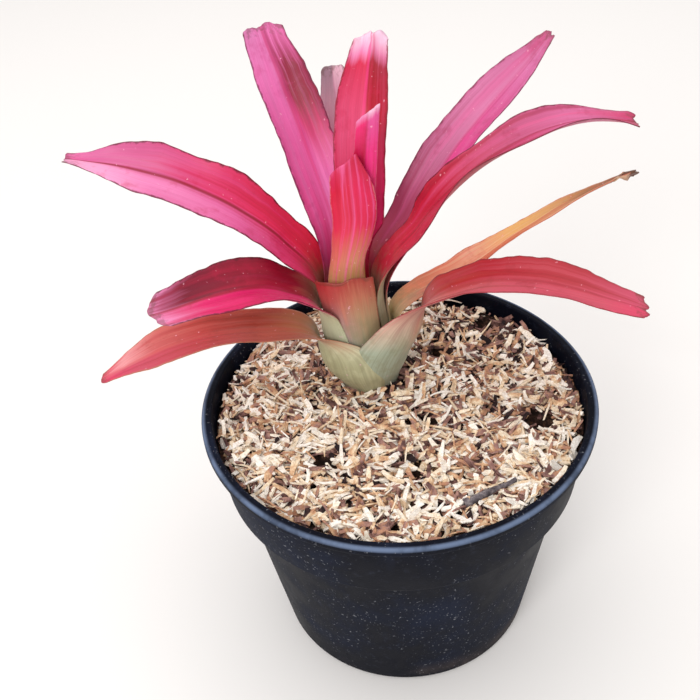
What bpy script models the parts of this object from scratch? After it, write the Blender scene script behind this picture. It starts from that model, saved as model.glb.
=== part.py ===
"""Potted bromeliad: a nursery pot, its chopped-husk potting mix, a short stem and thirteen strap leaves.

The origin is the centre of the pot's underside, +Z is up, and lengths are in metres.
"""

import math

import bmesh
import bpy
from mathutils import Vector

MM = 0.001

# Nursery pot, turned about Z.
POT_HEIGHT = 111 * MM
RIM_RADIUS = 75 * MM
LIP_HEIGHT = 4 * MM
LIP_STEP = 2.6 * MM
BAND_DEPTH = 30 * MM
BAND_BOTTOM_RADIUS = 69.6 * MM
BAND_STEP = 4.6 * MM
BASE_RADIUS = 53 * MM
BASE_ROUND = 2 * MM
WALL = 1.3 * MM
FLOOR = 1.8 * MM
POT_SIDES = 56
DRAIN_COUNT = 6
DRAIN_RADIUS = 5 * MM
DRAIN_CIRCLE = 38 * MM

# Potting mix, which fills the pot to below the rim and rises a little around the plant.
CLEARANCE = 0.3 * MM
MIX_BELOW_RIM = 6.5 * MM
MIX_CROWN = 1.6 * MM
MIX_UNEVEN = 0.5 * MM
MIX_WAVES = (11 * MM, 9 * MM, 17 * MM)
MIX_RINGS = 5

# Short stem, off the pot's centre and leaning a little.
STEM_X = -9 * MM
STEM_Y = 20 * MM
STEM_LEAN = -0.12
STEM_SHOULDER_ABOVE_MIX = -0.8 * MM
STEM_RADIUS = 13 * MM
STEM_FOOT_RADIUS = 5 * MM
STEM_WAIST = 0.86
STEM_DEPTH = 24 * MM
STEM_CONE = 9 * MM
STEM_SIDES = 24

# Leaf blades.
LEAF_THICKNESS = 0.9 * MM
LEAF_BASE_GAP = 1.2 * MM
LEAF_STATIONS = 15
LEAF_COLUMNS = 6
SHEATH_SHARE = 0.42
OPENING_SHARE = 0.3
TIP_SHARE = 0.3
LEAST_REACH = 0.8

# One entry for each leaf, outermost sheath first. heading is the way it grows in degrees, anticlockwise
# from +X. sheath is its radius about the stem as a share of the stem's, and wrap the most of the stem that
# half of it may hug, in degrees. widths are its sheath's and its blade's, in millimetres like its length.
# rise is its slope above the horizontal at the base, a third, two thirds and the tip, in degrees. sweep
# turns its heading and roll its face along its length. channel is the blade's hollow radius, and opens is
# the share of the length where it starts to open out to it. tip is the blunt end's share of the width.
LEAVES = {
    "leaf_left_low": dict(
        heading=185, sheath=0.94, wrap=66, length=107, widths=(27, 18.5), rise=(83, 21, -11, -26),
        sweep=5, roll=-18, channel=20, opens=0.05, tip=0.2,
    ),
    "leaf_right_dry": dict(
        heading=16, sheath=0.94, wrap=30, length=125, widths=(11, 8.5), rise=(81, 36, 21, 2),
        sweep=0, roll=-10, channel=9, opens=0.1, tip=0.3,
    ),
    "leaf_right_low": dict(
        heading=-19, sheath=0.83, wrap=58, length=122, widths=(23, 19.5), rise=(87, 45, 1, -9),
        sweep=-4, roll=10, channel=22, opens=0.1, tip=0.45,
    ),
    "leaf_left_middle": dict(
        heading=200, sheath=0.8, wrap=34, length=105, widths=(20, 22), rise=(80, 63, 12, 8),
        sweep=4, roll=-26, channel=20, opens=0.25, tip=0.45,
    ),
    "leaf_front_short": dict(
        heading=-92, sheath=0.65, wrap=46, length=48, widths=(17, 19), rise=(88, 86, 80, 76),
        sweep=0, roll=0, channel=12, opens=0.55, tip=0.9,
    ),
    "leaf_left_upper": dict(
        heading=175, sheath=0.48, wrap=38, length=148, widths=(18, 23.5), rise=(85, 59, 25, 2),
        sweep=-11, roll=-46, channel=24, opens=0.35, tip=0.18,
    ),
    "leaf_right_upper": dict(
        heading=33, sheath=0.49, wrap=42, length=146, widths=(18, 21), rise=(88, 62, 35, 38),
        sweep=0, roll=6, channel=18, opens=0.3, tip=0.35,
    ),
    "leaf_back": dict(
        heading=96, sheath=0.55, wrap=16, length=117, widths=(14, 15), rise=(84, 66, 48, 45),
        sweep=-4, roll=0, channel=20, opens=0.3, tip=0.6,
    ),
    "leaf_back_left": dict(
        heading=122, sheath=0.37, wrap=40, length=135, widths=(18, 21), rise=(89, 70, 53, 52),
        sweep=-7, roll=-8, channel=18, opens=0.3, tip=0.8,
    ),
    "leaf_right_middle": dict(
        heading=8, sheath=0.385, wrap=40, length=152, widths=(17, 18), rise=(90, 64, 18, 4),
        sweep=-1, roll=-3, channel=18, opens=0.3, tip=0.2,
    ),
    "leaf_centre_tall": dict(
        heading=75, sheath=0.245, wrap=36, length=127, widths=(14, 19), rise=(83, 88, 65, 24),
        sweep=0, roll=0, channel=16, opens=0.35, tip=0.4,
    ),
    "leaf_centre_short": dict(
        heading=-98, sheath=0.34, wrap=42, length=86, widths=(16, 17), rise=(87, 89, 90, 90),
        sweep=0, roll=0, channel=25, opens=0.5, tip=0.2,
    ),
    "leaf_centre_young": dict(
        heading=-100, sheath=0.145, wrap=40, length=104, widths=(8, 15), rise=(89, 90, 91, 89),
        sweep=0, roll=0, channel=25, opens=0.4, tip=0.35,
    ),
}

# Colour, roughness and specular level of each material.
MATERIALS = {
    "pot_plastic": ((0.018, 0.021, 0.035), 0.45, 0.4),
    "potting_husk": ((0.46, 0.31, 0.19), 0.95, 0.2),
    "stem_tissue": ((0.34, 0.35, 0.22), 0.7, 0.3),
    "leaf_tissue": ((0.55, 0.04, 0.09), 0.45, 0.5),
    "leaf_withered": ((0.75, 0.38, 0.16), 0.7, 0.3),
}


def clear_scene():
    for thing in list(bpy.data.objects):
        bpy.data.objects.remove(thing, do_unlink=True)


def material(name):
    colour, roughness, specular = MATERIALS[name]
    made = bpy.data.materials.get(name)
    if made is None:
        made = bpy.data.materials.new(name)
        made.use_nodes = True
        shader = made.node_tree.nodes["Principled BSDF"]
        shader.inputs["Base Color"].default_value = (*colour, 1)
        shader.inputs["Roughness"].default_value = roughness
        shader.inputs["Metallic"].default_value = 0
        shader.inputs["Specular IOR Level"].default_value = specular
    return made


def new_object(name, shape, material_name):
    """Turns the bmesh shape into a smooth-shaded object."""
    bmesh.ops.recalc_face_normals(shape, faces=shape.faces)
    mesh = bpy.data.meshes.new(name)
    shape.to_mesh(mesh)
    shape.free()
    mesh.shade_smooth()
    mesh.set_sharp_from_angle(angle=math.radians(35))
    made = bpy.data.objects.new(name, mesh)
    bpy.context.scene.collection.objects.link(made)
    if material_name:
        mesh.materials.append(material(material_name))
    return made


def turned(outline, sides):
    """A closed solid turned about Z from (radius, height) points that start and end on the axis."""
    shape = bmesh.new()
    points = [shape.verts.new((radius, 0, height)) for radius, height in outline]
    edges = [shape.edges.new(pair) for pair in zip(points, points[1:])]
    bmesh.ops.spin(
        shape, geom=points + edges, axis=(0, 0, 1), angle=math.tau, steps=sides, use_merge=True
    )
    bmesh.ops.remove_doubles(shape, verts=shape.verts, dist=0.001 * MM)
    return shape


def cut(piece, cutter):
    """Cuts the hidden cutter out of the piece."""
    cutter.hide_render = True
    cutter.display_type = "WIRE"
    modifier = piece.modifiers.new("cut " + cutter.name, "BOOLEAN")
    modifier.operation = "DIFFERENCE"
    modifier.object = cutter


def step_height():
    return POT_HEIGHT - BAND_DEPTH


def pot_radius(height):
    """Outer radius of the tapered body below the band's step."""
    share = height / step_height()
    return BASE_RADIUS + (BAND_BOTTOM_RADIUS - BAND_STEP - BASE_RADIUS) * share


def band_top_radius():
    return RIM_RADIUS - LIP_STEP


def pot_outer_outline():
    """The pot's outside, from the axis under the floor up to the crest of the lip."""
    outline = [(0, 0), (BASE_RADIUS - BASE_ROUND, 0)]
    outline += [(pot_radius(BASE_ROUND), BASE_ROUND)]
    outline += [(pot_radius(step_height()), step_height())]
    outline += [(BAND_BOTTOM_RADIUS, step_height() + BAND_STEP / 3)]
    outline += [(band_top_radius(), POT_HEIGHT - LIP_HEIGHT)]
    outline += [(RIM_RADIUS, POT_HEIGHT - LIP_HEIGHT + LIP_STEP / 3)]
    outline += [(RIM_RADIUS, POT_HEIGHT - LIP_STEP / 3)]
    outline += [(RIM_RADIUS - LIP_STEP / 3, POT_HEIGHT)]
    return outline


def pot_inner_outline(gap):
    """The pot's inside, shrunk by a gap, from the rim down to the axis over the floor."""
    inset = WALL + gap
    outline = [(band_top_radius() - inset, POT_HEIGHT)]
    outline += [(BAND_BOTTOM_RADIUS - inset, step_height() + BAND_STEP / 3 + inset)]
    outline += [(pot_radius(step_height()) - inset, step_height() + inset)]
    outline += [(pot_radius(FLOOR + gap) - inset, FLOOR + gap)]
    outline += [(0, FLOOR + gap)]
    return outline


def make_pot():
    pot = new_object("pot", turned(pot_outer_outline() + pot_inner_outline(0), POT_SIDES), "pot_plastic")
    for index in range(DRAIN_COUNT):
        angle = math.tau * (index + 0.5) / DRAIN_COUNT
        shape = bmesh.new()
        bmesh.ops.create_cone(
            shape, cap_ends=True, segments=16, radius1=DRAIN_RADIUS, radius2=DRAIN_RADIUS, depth=4 * FLOOR
        )
        hole = new_object(f"drain_cutter_{index + 1}", shape, None)
        hole.location = (DRAIN_CIRCLE * math.cos(angle), DRAIN_CIRCLE * math.sin(angle), 0)
        cut(pot, hole)


def mix_edge_height():
    return POT_HEIGHT - MIX_BELOW_RIM


def mix_edge_radius():
    """Inner radius of the pot's band at the mix's edge, less the clearance."""
    (top, top_height), (bottom, bottom_height) = pot_inner_outline(CLEARANCE)[:2]
    share = (mix_edge_height() - bottom_height) / (top_height - bottom_height)
    return bottom + (top - bottom) * share


def mix_height(x, y):
    """Height of the mix's uneven surface."""
    reach = math.hypot(x - STEM_X, y - STEM_Y) / RIM_RADIUS
    crown = MIX_CROWN * math.exp(-4 * reach * reach)
    wide, deep, slanting = MIX_WAVES
    waves = math.sin(x / wide) * math.cos(y / deep) + 0.5 * math.sin((x + 2 * y) / slanting)
    return mix_edge_height() + crown + MIX_UNEVEN * waves * (1 - math.hypot(x, y) / RIM_RADIUS)


def make_mix():
    edge = mix_edge_radius()
    rings = [(edge * ring / MIX_RINGS, mix_edge_height()) for ring in range(MIX_RINGS + 1)]
    shape = turned(rings + pot_inner_outline(CLEARANCE)[1:], POT_SIDES)
    for point in shape.verts:
        if point.co.z > mix_edge_height() - 0.01 * MM:
            point.co.z = mix_height(point.co.x, point.co.y)
    mix = new_object("potting_mix", shape, "potting_husk")
    pocket = new_object("stem_cutter", stem_shape(CLEARANCE, STEM_CONE), None)
    pocket.location = stem_point(stem_shoulder())
    cut(mix, pocket)


def stem_shoulder():
    """Height of the stem's widest part, where the outer leaves begin."""
    return mix_height(STEM_X, STEM_Y) + STEM_SHOULDER_ABOVE_MIX


def stem_point(height):
    """A point on the stem's leaning axis."""
    above = height - mix_edge_height()
    return Vector((STEM_X + STEM_LEAN * above, STEM_Y, height))


def stem_shape(gap, spare):
    """The stem about its shoulder's height, grown by a gap, with spare height where it is a cutter."""
    radius = STEM_RADIUS + gap
    outline = [(0, -STEM_DEPTH - gap), (STEM_FOOT_RADIUS + gap, -STEM_DEPTH - gap)]
    outline += [(STEM_WAIST * radius, -0.5 * STEM_DEPTH), (radius, -0.2 * STEM_DEPTH), (radius, spare)]
    outline += [(0, STEM_CONE + spare)]
    return turned(outline, STEM_SIDES)


def make_stem():
    stem = new_object("stem", stem_shape(0, 0), "stem_tissue")
    stem.location = stem_point(stem_shoulder())


def smooth(value):
    value = min(max(value, 0), 1)
    return value * value * (3 - 2 * value)


def blend(first, second, share):
    return first + (second - first) * share


def through_four(values, share):
    """The cubic that passes through four values at shares 0, 1/3, 2/3 and 1."""
    total = 0
    for index, value in enumerate(values):
        weight = 1
        for other in range(4):
            if other != index:
                weight *= (3 * share - other) / (index - other)
        total += value * weight
    return total


def leaf_direction(leaf, share):
    rise = math.radians(through_four(leaf["rise"], share))
    heading = math.radians(leaf["heading"] + leaf["sweep"] * share**1.5)
    flat = Vector((math.cos(heading), math.sin(heading), 0))
    across = Vector((-flat.y, flat.x, 0))
    along = math.cos(rise) * flat + Vector((0, 0, math.sin(rise)))
    return along, across


def leaf_sheath(leaf):
    return leaf["sheath"] * STEM_RADIUS


def leaf_base(leaf):
    """Where the leaf's middle line starts, just above the stem's cone."""
    radius = leaf_sheath(leaf)
    height = stem_shoulder() + STEM_CONE * (1 - radius / STEM_RADIUS) + LEAF_BASE_GAP
    heading = math.radians(leaf["heading"])
    return stem_point(height) + radius * Vector((math.cos(heading), math.sin(heading), 0))


def leaf_line(leaf):
    """The leaf's middle line: a point, the way along and the way across at each station."""
    point = leaf_base(leaf)
    step = leaf["length"] * MM / LEAF_STATIONS
    line = []
    for station in range(LEAF_STATIONS + 1):
        along, across = leaf_direction(leaf, station / LEAF_STATIONS)
        line.append((point.copy(), along, across))
        halfway = leaf_direction(leaf, (station + 0.5) / LEAF_STATIONS)[0]
        point += step * halfway
    return line


def leaf_reach(leaf, point):
    """The middle line's distance from the stem's axis."""
    away = point - stem_point(point.z)
    return max(away.length, LEAST_REACH * leaf_sheath(leaf))


def leaf_width(leaf, share, reach):
    """The leaf's width: it hugs no more of the stem than its wrap allows, and narrows to its tip."""
    sheath_width, blade_width = leaf["widths"]
    width = blend(sheath_width, blade_width, smooth(share / SHEATH_SHARE)) * MM
    hug = 2 * math.radians(leaf["wrap"]) * reach
    width = min(width, hug / max(1 - leaf_opened(leaf, share), 0.01))
    taper = smooth((share - 1 + TIP_SHARE) / TIP_SHARE) ** 1.5
    return width * blend(1, leaf["tip"], taper)


def leaf_opened(leaf, share):
    """How far the leaf's section has opened out, from 0 at the sheath to 1 on the blade."""
    return smooth((share - leaf["opens"]) / OPENING_SHARE)


def leaf_hollow(leaf, share, reach):
    """The radius of the leaf's section: round the stem at first, then opening to the blade's channel."""
    return 1 / blend(1 / reach, 1 / (leaf["channel"] * MM), leaf_opened(leaf, share))


def make_leaf(name, leaf):
    """A strap leaf: a flat grid laid along the middle line, hollowed across, then given its thickness."""
    shape = bmesh.new()
    bmesh.ops.create_grid(shape, x_segments=LEAF_COLUMNS, y_segments=LEAF_STATIONS, size=1)
    line = leaf_line(leaf)
    for vertex in shape.verts:
        side = vertex.co.x
        station = round((vertex.co.y + 1) / 2 * LEAF_STATIONS)
        share = station / LEAF_STATIONS
        point, along, across = line[station]
        inward = along.cross(across)
        roll = math.radians(leaf["roll"] * share)
        rolled_across = math.cos(roll) * across + math.sin(roll) * inward
        rolled_inward = math.cos(roll) * inward - math.sin(roll) * across
        reach = leaf_reach(leaf, point)
        hollow = leaf_hollow(leaf, share, reach)
        turn = side * leaf_width(leaf, share, reach) / 2 / hollow
        vertex.co = point + hollow * (rolled_across * math.sin(turn) + rolled_inward * (1 - math.cos(turn)))
    made = new_object(name, shape, "leaf_withered" if name == "leaf_right_dry" else "leaf_tissue")
    thicken = made.modifiers.new("thickness", "SOLIDIFY")
    thicken.thickness = LEAF_THICKNESS
    thicken.offset = 0


def main():
    clear_scene()
    make_pot()
    make_mix()
    make_stem()
    for name, leaf in LEAVES.items():
        make_leaf(name, leaf)


main()
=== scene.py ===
import math
import random

import bmesh
import bpy
from mathutils import Matrix, Vector, noise


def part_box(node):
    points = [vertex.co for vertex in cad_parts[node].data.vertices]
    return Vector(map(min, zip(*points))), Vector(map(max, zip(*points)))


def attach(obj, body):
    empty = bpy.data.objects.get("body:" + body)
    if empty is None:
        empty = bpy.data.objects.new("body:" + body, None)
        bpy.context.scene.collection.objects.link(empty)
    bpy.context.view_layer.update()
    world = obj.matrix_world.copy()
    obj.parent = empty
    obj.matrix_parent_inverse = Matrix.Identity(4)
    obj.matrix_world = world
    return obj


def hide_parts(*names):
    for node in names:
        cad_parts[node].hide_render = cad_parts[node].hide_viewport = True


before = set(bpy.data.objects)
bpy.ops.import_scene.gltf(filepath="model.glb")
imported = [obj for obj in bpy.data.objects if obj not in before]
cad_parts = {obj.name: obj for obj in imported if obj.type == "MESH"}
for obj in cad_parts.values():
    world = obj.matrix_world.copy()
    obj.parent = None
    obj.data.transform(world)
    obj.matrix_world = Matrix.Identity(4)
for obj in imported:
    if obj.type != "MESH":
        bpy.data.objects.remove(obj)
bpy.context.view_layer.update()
mm = 0.001
print("frame loaded:", len(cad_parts), "nodes")


# Small helpers for meshes and pieces.

def smooth(value):
    value = min(max(value, 0), 1)
    return value * value * (3 - 2 * value)


def blend(first, second, share):
    return first + (second - first) * share


def newPiece(name, mesh, materials, slotName, *nodes):
    made = bpy.data.objects.new(name, mesh)
    bpy.context.scene.collection.objects.link(made)
    for material in materials:
        mesh.materials.append(material)
    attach(made, "root")
    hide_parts(*nodes)
    return made


def meshFrom(name, shape, sharpAngle=35):
    mesh = bpy.data.meshes.new(name)
    shape.to_mesh(mesh)
    shape.free()
    mesh.shade_smooth()
    mesh.set_sharp_from_angle(angle=math.radians(sharpAngle))
    return mesh


def turnedShape(outline, sides):
    # a closed body from (radius, height) points in mm that start and end on the axis
    shape = bmesh.new()
    points = [shape.verts.new((radius * mm, 0, height * mm)) for radius, height in outline]
    edges = [shape.edges.new(pair) for pair in zip(points, points[1:])]
    bmesh.ops.spin(shape, geom=points + edges, axis=(0, 0, 1), angle=math.tau, steps=sides, use_merge=True)
    bmesh.ops.remove_doubles(shape, verts=shape.verts, dist=0.001 * mm)
    bmesh.ops.recalc_face_normals(shape, faces=shape.faces)
    return shape


def appliedMesh(piece):
    # the piece's mesh with its modifiers worked in
    graph = bpy.context.evaluated_depsgraph_get()
    mesh = bpy.data.meshes.new_from_object(piece.evaluated_get(graph))
    piece.modifiers.clear()
    piece.data = mesh


# Small helpers for materials.

def tint(red, green, blue):
    def linear(value):
        value /= 255
        return value / 12.92 if value <= 0.04045 else ((value + 0.055) / 1.055) ** 2.4
    return (linear(red), linear(green), linear(blue), 1)


def newMaterial(name, specular, sheen=0.0, sheenTint=(1, 1, 1, 1)):
    material = bpy.data.materials.new(name)
    material.use_nodes = True
    shader = material.node_tree.nodes["Principled BSDF"]
    shader.inputs["Specular IOR Level"].default_value = specular
    shader.inputs["Sheen Weight"].default_value = sheen
    shader.inputs["Sheen Tint"].default_value = sheenTint
    return material, material.node_tree, shader


def addNode(tree, kind, inputs, **settings):
    node = tree.nodes.new(kind)
    for key, value in settings.items():
        setattr(node, key, value)
    for key, value in inputs.items():
        if isinstance(value, bpy.types.NodeSocket):
            tree.links.new(value, node.inputs[key])
        else:
            node.inputs[key].default_value = value
    return node


def calculate(tree, operation, first, second=0.0):
    return addNode(tree, "ShaderNodeMath", {0: first, 1: second}, operation=operation).outputs[0]


def stepped(tree, value, low, high, toLow=0.0, toHigh=1.0):
    # a smooth step from toLow to toHigh as the value goes from low to high
    ends = {"Value": value, "From Min": low, "From Max": high, "To Min": toLow, "To Max": toHigh}
    return addNode(tree, "ShaderNodeMapRange", ends, interpolation_type="SMOOTHSTEP").outputs["Result"]


def mixed(tree, factor, first, second, way="MIX"):
    node = addNode(tree, "ShaderNodeMix", {0: factor, 6: first, 7: second}, data_type="RGBA", blend_type=way)
    return node.outputs[2]


def ramped(tree, factor, stops):
    node = addNode(tree, "ShaderNodeValToRGB", {0: factor})
    ramp = node.color_ramp
    ramp.elements[0].position, ramp.elements[0].color = stops[0]
    ramp.elements[1].position, ramp.elements[1].color = stops[-1]
    for position, colour in stops[1:-1]:
        ramp.elements.new(position).color = colour
    return node.outputs[0]


def noiseAt(tree, vector, scale, detail=3.0, roughness=0.55, stretch=(1, 1, 1)):
    spread = addNode(tree, "ShaderNodeMapping", {"Vector": vector, "Scale": stretch}).outputs[0]
    places = {"Vector": spread, "Scale": scale, "Detail": detail, "Roughness": roughness}
    return addNode(tree, "ShaderNodeTexNoise", places).outputs[0]


def bumped(tree, shader, height, strength, distance):
    node = addNode(tree, "ShaderNodeBump", {"Height": height, "Strength": strength, "Distance": distance})
    tree.links.new(node.outputs[0], shader.inputs["Normal"])


# Nursery pot: a turned thin wall with a rolled lip, a stepped band and a small foot.

pot = {
    "lipHeight": 4, "lipStep": 2.6, "bandDepth": 30, "bandBottomRadius": 69.6, "bandStep": 4.6,
    "baseRadius": 53, "baseRound": 2, "wall": 1.3, "floor": 1.8, "sides": 144,
    "drainCount": 6, "drainRadius": 5, "drainCircle": 38,
    "underHollow": 0.7, "footWidth": 6, "rounding": 0.5, "soilHeight": 16,
    "plastic": tint(9, 11, 21), "wearAndLipHighlight": tint(24, 30, 47), "dust": tint(136, 138, 144),
    "lipHighlight": tint(98, 112, 138), "chalk": tint(46, 51, 66), "soil": tint(86, 74, 66),
}
potLow, potHigh = (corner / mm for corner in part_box("pot"))
potHeight = potHigh.z
rimRadius = (potHigh.x - potLow.x) / 2


def potInnerRadius(height):
    # the band's inner wall at a height near the rim
    bottom = potHeight - pot["bandDepth"] + pot["bandStep"] / 3 + pot["wall"]
    share = (height - bottom) / (potHeight - bottom)
    top = rimRadius - pot["lipStep"]
    return blend(pot["bandBottomRadius"], top, share) - pot["wall"]


def potOutline():
    step = potHeight - pot["bandDepth"]
    bodyTop = pot["bandBottomRadius"] - pot["bandStep"]
    bandTop = rimRadius - pot["lipStep"]
    lipFoot = potHeight - pot["lipHeight"]
    base = pot["baseRadius"]
    foot = base - pot["footWidth"]
    outside = [(0, pot["underHollow"]), (foot - 1, pot["underHollow"])]
    outside += [(foot, 0), (base - pot["baseRound"], 0)]
    outside += [(base + 0.3, pot["baseRound"]), (bodyTop - 0.1, step - 0.6), (bodyTop + 0.2, step)]
    outside += [(pot["bandBottomRadius"] - 0.5, step + 1.0), (pot["bandBottomRadius"], step + 1.9)]
    outside += [(bandTop - 0.2, lipFoot - 0.3), (bandTop + 0.4, lipFoot), (rimRadius - 0.3, lipFoot + 0.5)]
    outside += [(rimRadius, lipFoot + 1.2), (rimRadius, potHeight - 1.0)]
    outside += [(rimRadius - 0.9, potHeight), (bandTop - pot["wall"] + pot["rounding"], potHeight)]
    innerStep = pot["bandStep"] / 3 + pot["wall"]
    inside = [(bandTop - pot["wall"], potHeight - pot["rounding"])]
    inside += [(pot["bandBottomRadius"] - pot["wall"], step + innerStep)]
    inside += [(bodyTop - pot["wall"], step + pot["wall"]), (base - pot["wall"], pot["floor"])]
    return outside + inside + [(0, pot["floor"])]


def potPlastic():
    material, tree, shader = newMaterial("dark nursery plastic", 0.05)
    place = addNode(tree, "ShaderNodeTexCoord", {}).outputs["Object"]
    height = addNode(tree, "ShaderNodeSeparateXYZ", {0: place}).outputs[2]
    flat = addNode(tree, "ShaderNodeVectorMath", {0: place, 1: (1, 1, 0)}, operation="MULTIPLY").outputs[0]
    reach = addNode(tree, "ShaderNodeVectorMath", {0: flat}, operation="LENGTH").outputs["Value"]
    cloud = noiseAt(tree, place, 28, 5, 0.6)
    rub = noiseAt(tree, place, 90, 4, 0.6, (1, 1, 0.35))
    speck = noiseAt(tree, place, 900, 2, 0.5)
    colour = mixed(tree, stepped(tree, cloud, 0.42, 0.72), pot["plastic"], pot["wearAndLipHighlight"])
    colour = mixed(tree, stepped(tree, rub, 0.56, 0.8, 0, 0.5), colour, pot["wearAndLipHighlight"])
    dusty = calculate(tree, "MULTIPLY", stepped(tree, speck, 0.64, 0.72), stepped(tree, cloud, 0.4, 0.56))
    colour = mixed(tree, calculate(tree, "MULTIPLY", dusty, 0.6), colour, pot["dust"])
    chalk = stepped(tree, noiseAt(tree, place, 300, 6, 0.75), 0.54, 0.72, 0, 0.4)
    colour = mixed(tree, chalk, colour, pot["chalk"])
    # painted highlight: the top outer edge of the lip is painted pale blue-grey for the sky's reflection,
    # broken up by the rub noise
    lip = stepped(tree, height, (potHeight - 1.5) * mm, (potHeight - 0.4) * mm)
    outer = stepped(tree, reach, (rimRadius - 2.0) * mm, (rimRadius - 0.7) * mm)
    lip = calculate(tree, "MULTIPLY", lip, outer)
    wearAndLipHighlight = calculate(tree, "MULTIPLY", lip, stepped(tree, rub, 0.3, 0.6, 0.45, 1.0))
    colour = mixed(tree, wearAndLipHighlight, colour, pot["lipHighlight"])
    low = stepped(tree, height, pot["soilHeight"] * mm, 2 * mm)
    soil = calculate(tree, "MULTIPLY", low, stepped(tree, cloud, 0.45, 0.62))
    colour = mixed(tree, calculate(tree, "MULTIPLY", soil, 0.5), colour, pot["soil"])
    tree.links.new(colour, shader.inputs["Base Color"])
    rough = stepped(tree, cloud, 0.3, 0.7, 0.46, 0.66)
    tree.links.new(rough, shader.inputs["Roughness"])
    grain = noiseAt(tree, place, 1400, 2, 0.5)
    relief = calculate(tree, "ADD", calculate(tree, "MULTIPLY", grain, 0.35), cloud)
    bumped(tree, shader, calculate(tree, "ADD", relief, dusty), 0.35, 0.25 * mm)
    return material


def makePot():
    shape = turnedShape(potOutline(), pot["sides"])
    piece = newPiece("nurseryPot", meshFrom("nurseryPot", shape), [potPlastic()], "pot_plastic", "pot")
    cutters = []
    for index in range(pot["drainCount"]):
        angle = math.tau * (index + 0.5) / pot["drainCount"]
        shape = bmesh.new()
        hole = pot["drainRadius"] * mm
        bmesh.ops.create_cone(
            shape, cap_ends=True, segments=32, radius1=hole, radius2=hole, depth=4 * pot["floor"] * mm
        )
        centre = Vector((math.cos(angle), math.sin(angle), 0)) * pot["drainCircle"] * mm
        bmesh.ops.translate(shape, verts=shape.verts, vec=centre)
        cutter = bpy.data.objects.new("drainCutter", meshFrom("drainCutter", shape))
        bpy.context.scene.collection.objects.link(cutter)
        cutters.append(cutter)
        cut = piece.modifiers.new("drain", "BOOLEAN")
        cut.object = cutter
    appliedMesh(piece)
    for cutter in cutters:
        bpy.data.objects.remove(cutter, do_unlink=True)


makePot()
print("pot made")


# Stem: short, leaning, mostly hidden by the sheaths.

stemLow, stemHigh = (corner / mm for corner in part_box("stem"))
stem = {
    "x": (stemLow.x + stemHigh.x) / 2, "y": (stemLow.y + stemHigh.y) / 2,
    "radius": (stemHigh.x - stemLow.x) / 2, "cone": 9, "lean": -0.12, "baseGap": 1.2,
    "slimmer": 0.88, "footRadius": 5, "waist": 0.86, "sides": 48,
}
stem["shoulder"] = stemHigh.z - stem["cone"]


def stemPoint(height):
    return Vector((stem["x"] + stem["lean"] * (height - stem["shoulder"]), stem["y"], height))


def makeStem():
    foot = stemLow.z
    depth = stem["shoulder"] - foot
    radius = stem["radius"] * stem["slimmer"]
    shoulder = stem["shoulder"]
    outline = [(0, foot), (stem["footRadius"], foot)]
    outline += [(stem["waist"] * radius, foot + 0.5 * depth), (radius, foot + 0.8 * depth)]
    outline += [(radius, shoulder - 1), (0.8 * radius, shoulder + 2), (0, shoulder + 8)]
    shape = turnedShape(outline, stem["sides"])
    bmesh.ops.translate(shape, verts=shape.verts, vec=Vector((stem["x"], stem["y"], 0)) * mm)
    material, tree, shader = newMaterial("stem tissue", 0.3)
    place = addNode(tree, "ShaderNodeTexCoord", {}).outputs["Object"]
    fibres = noiseAt(tree, place, 300, 4, 0.6, (1, 1, 0.2))
    stops = [(0.3, tint(58, 48, 28)), (0.55, tint(112, 104, 66)), (0.75, tint(150, 142, 100))]
    tree.links.new(ramped(tree, fibres, stops), shader.inputs["Base Color"])
    tree.links.new(stepped(tree, fibres, 0.3, 0.7, 0.55, 0.8), shader.inputs["Roughness"])
    bumped(tree, shader, fibres, 0.5, 0.4 * mm)
    newPiece("shortStem", meshFrom("shortStem", shape), [material], "stem_tissue", "stem")


makeStem()
print("stem made")


# Strap leaves. Each is a flat grid laid along a curved middle line, hollowed across and given its thickness.

leafMaking = {
    "columns": 36, "rows": 120, "samples": 240, "root": 4, "thickness": 1.5, "thinnest": 0.16,
    "openingShare": 0.3, "leastReach": 0.8, "ribs": 6, "ribHeight": 0.07, "buckle": 0.6,
    "bladeThickness": 0.5, "tipThickness": 0.6, "marginThinner": 0.9,
    "endFrom": 0.72, "endSpan": 0.28,
}

sage = tint(176, 174, 136)
paleSage = tint(196, 194, 158)
greySage = tint(166, 176, 154)
olive = tint(142, 134, 76)
straw = tint(198, 180, 128)
peach = tint(216, 152, 124)
brick = tint(182, 62, 46)
scarlet = tint(210, 30, 62)
crimson = tint(196, 20, 58)
deepRed = tint(150, 12, 36)
maroon = tint(104, 16, 30)
magenta = tint(222, 34, 106)
rose = tint(218, 74, 122)
pink = tint(222, 104, 162)
palePink = tint(228, 136, 182)
lilac = tint(228, 152, 208)
blush = tint(238, 178, 196)
mouldTint = tint(134, 128, 92)
veinTint = tint(112, 112, 82)
dullTint = tint(186, 120, 128)
mauve = tint(196, 112, 146)
dryBrown = tint(92, 58, 40)
amber = tint(232, 182, 108)


def throughFour(values, share):
    # the cubic through four values at shares 0, 1/3, 2/3 and 1
    total = 0
    for index, value in enumerate(values):
        weight = 1
        for other in range(4):
            if other != index:
                weight *= (3 * share - other) / (index - other)
        total += value * weight
    return total


def leafDirection(leaf, share):
    share = max(share, 0)
    rise = math.radians(throughFour(leaf["rise"], share))
    heading = math.radians(leaf["heading"] + leaf["sweep"] * share**1.5)
    flat = Vector((math.cos(heading), math.sin(heading), 0))
    across = Vector((-flat.y, flat.x, 0))
    return math.cos(rise) * flat + Vector((0, 0, math.sin(rise))), across


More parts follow.
